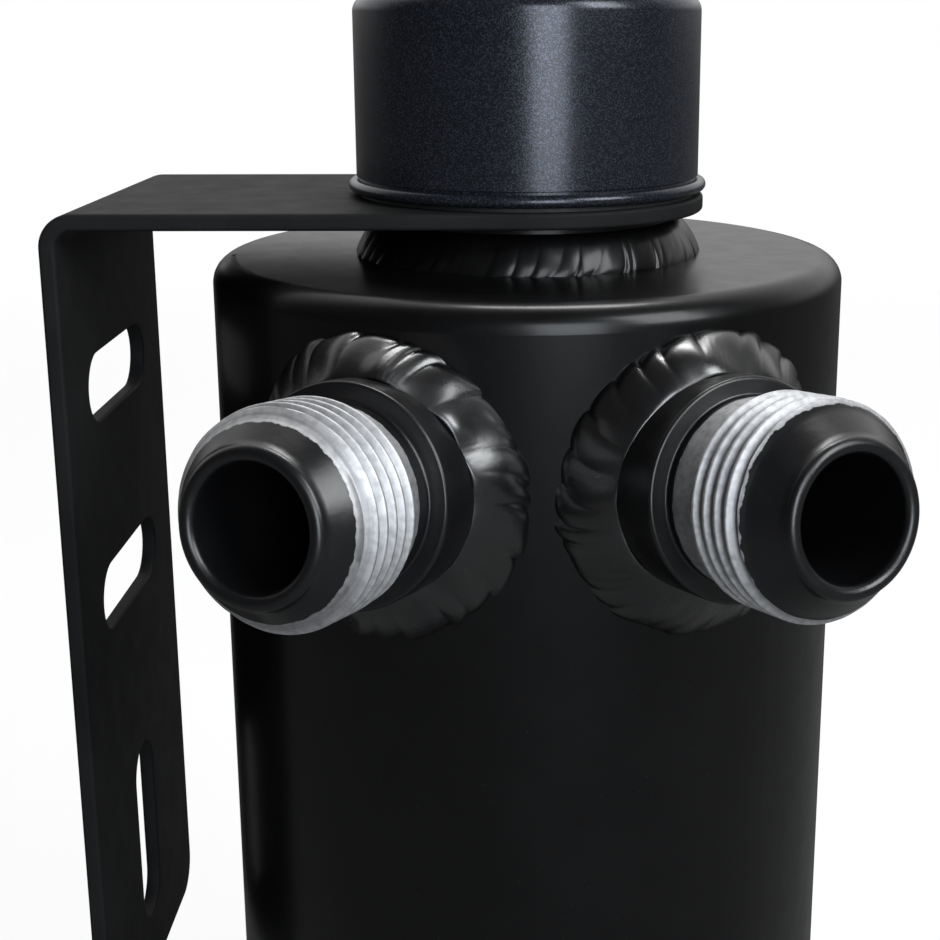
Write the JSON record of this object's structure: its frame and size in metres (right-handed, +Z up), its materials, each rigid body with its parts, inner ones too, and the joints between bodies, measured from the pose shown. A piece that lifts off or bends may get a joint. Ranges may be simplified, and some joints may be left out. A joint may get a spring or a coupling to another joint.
{
  "type": "oil catch can",
  "caption": "Round welded oil catch can with male flare fittings, a screw cap, a drain plug and a slotted bent plate bracket clamped under the cap.",
  "frame": {"origin": "on the back face of the bracket's leg, midway between its two cross slots", "axes": "+X from the bracket's back face to the can's axis, +Z up along the can, the fittings look towards -Y"},
  "size_m": [0.096, 0.1047, 0.1859],
  "materials": {
    "coat": "satin black powder coat",
    "weld_coat": "satin black powder coat over weld ripples",
    "bracket_coat": "satin black powder coat",
    "cap_coat": "satin dark coat with a fine metallic flake",
    "fitting": "bare turned aluminium thread, the rest masked and coated satin black",
    "rubber": "black rubber",
    "copper": "soft copper washer",
    "zinc_steel": "zinc plated steel",
    "bare_sheet": "bare sheet",
    "wire": "rolled wire mesh"
  },
  "bodies": {
    "bracket": {"bracket": "bracket_coat"},
    "can": {"can_shell": "coat", "base_plate": "coat", "base_weld": "weld_coat", "neck_bung": "coat", "neck_weld": "weld_coat", "inlet_fitting": "fitting", "inlet_weld": "weld_coat", "outlet_fitting": "fitting", "outlet_weld": "weld_coat", "drain_boss": "coat", "drain_weld": "weld_coat", "divider": "bare_sheet", "upper_screen": "bare_sheet", "wire_pack": "wire", "lower_screen": "bare_sheet", "ledge_ring": "bare_sheet", "spacer_tube": "bare_sheet", "centre_bolt": "zinc_steel", "bolt_washers": "zinc_steel", "centre_nut": "zinc_steel"},
    "cap_washer": {"clamp_washer": "rubber"},
    "cap": {"cap": "cap_coat", "cap_seal": "rubber"},
    "drain_washer": {"drain_washer": "copper"},
    "drain_plug": {"drain_plug": "zinc_steel"}
  },
  "joints": [
    {"name": "can_swivel", "type": "hinge", "parent": "bracket", "child": "can", "pos_m": [0.056, 0, 0], "axis": [0, 0, 1], "range_deg": [-33, 208]},
    {"name": "cap_lift", "type": "slide", "parent": "can", "child": "cap_washer", "axis": [0, 0, 1], "range_m": [0, 0.011]},
    {"name": "cap_turn", "type": "hinge", "parent": "cap_washer", "child": "cap", "pos_m": [0.056, 0, 0], "axis": [0, 0, 1], "range_deg": [0, 1990]},
    {"name": "drain_drop", "type": "slide", "parent": "can", "child": "drain_washer", "axis": [0, 0, -1], "range_m": [0, 0.01]},
    {"name": "drain_turn", "type": "hinge", "parent": "drain_washer", "child": "drain_plug", "pos_m": [0.056, 0, 0], "axis": [0, 0, -1], "range_deg": [0, 2415]}
  ],
  "couplings": [
    {"joint": "cap_turn", "follows": "cap_lift", "rad_per_m": 3141.6},
    {"joint": "drain_turn", "follows": "drain_drop", "rad_per_m": 4188.8}
  ]
}
